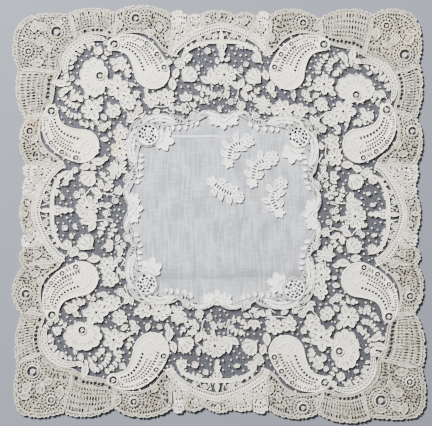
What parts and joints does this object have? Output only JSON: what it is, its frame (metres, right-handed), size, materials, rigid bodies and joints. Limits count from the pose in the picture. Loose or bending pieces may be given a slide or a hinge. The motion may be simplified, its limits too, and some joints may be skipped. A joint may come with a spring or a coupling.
{
  "type": "lace handkerchief",
  "caption": "Square needle-lace handkerchief laid flat: a wide scalloped lace border with raised motifs, a scrolled frame, openwork roundels at its corners and a fine lawn centre",
  "frame": {"origin": "middle of the cloth's outline on the surface it lies on: the underside of the lace is at Z = 0", "axes": "+X to the right and +Y up the cloth as the picture shows it, +Z out of the right side of the cloth"},
  "size_m": [0.4132, 0.4174, 0.0018],
  "materials": {
    "lace": "matt cream cotton needle lace",
    "lawn": "sheer fine plain-woven cotton lawn"
  },
  "bodies": {
    "root": {"lace_border": "lace", "lawn_panel": "lawn", "roundel_1": "lace", "roundel_2": "lace", "roundel_3": "lace", "roundel_4": "lace"}
  },
  "joints": []
}
